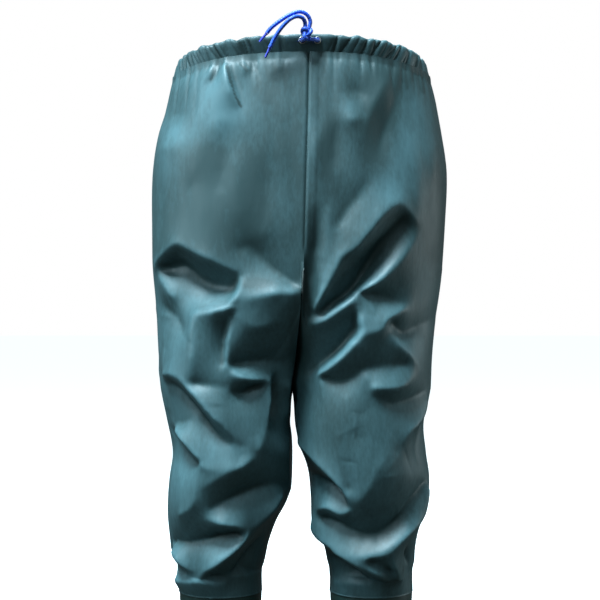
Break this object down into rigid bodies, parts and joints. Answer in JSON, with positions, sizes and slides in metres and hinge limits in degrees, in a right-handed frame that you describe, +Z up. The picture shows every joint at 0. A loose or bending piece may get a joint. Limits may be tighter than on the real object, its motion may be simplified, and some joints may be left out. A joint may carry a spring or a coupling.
{
  "type": "waist waders",
  "caption": "Waist-high waders: coated-cloth trousers with a gathered drawstring waist, welded onto moulded boots with lugged soles.",
  "frame": {"origin": "on the floor under the middle of the bounding box", "axes": "+Z up, the wearer faces -Y, +X is on the right of someone who looks at the front"},
  "size_m": [0.482, 0.3865, 1.2543],
  "materials": {
    "coated_cloth": "satin, dark teal-green coating on woven cloth",
    "blue_cord": "matt braided cord",
    "eyelet_metal": "dull nickel plate",
    "boot_rubber": "satin moulded rubber",
    "sole_rubber": "matt moulded rubber",
    "insole_felt": "matt felt"
  },
  "bodies": {
    "root": {"trousers_left": "coated_cloth", "trousers_right": "coated_cloth", "waist_casing": "coated_cloth", "eyelet_left": "eyelet_metal", "eyelet_right": "eyelet_metal", "drawstring_run": "blue_cord", "drawstring_knot": "blue_cord", "drawstring_end_long": "blue_cord", "drawstring_end_short": "blue_cord", "drawstring_tip_long": "blue_cord", "drawstring_tip_short": "blue_cord", "boot_foot_left": "boot_rubber", "boot_foot_right": "boot_rubber", "boot_shaft_left": "boot_rubber", "boot_shaft_right": "boot_rubber", "outsole_left": "sole_rubber", "outsole_right": "sole_rubber", "insole_left": "insole_felt", "insole_right": "insole_felt"}
  },
  "joints": []
}
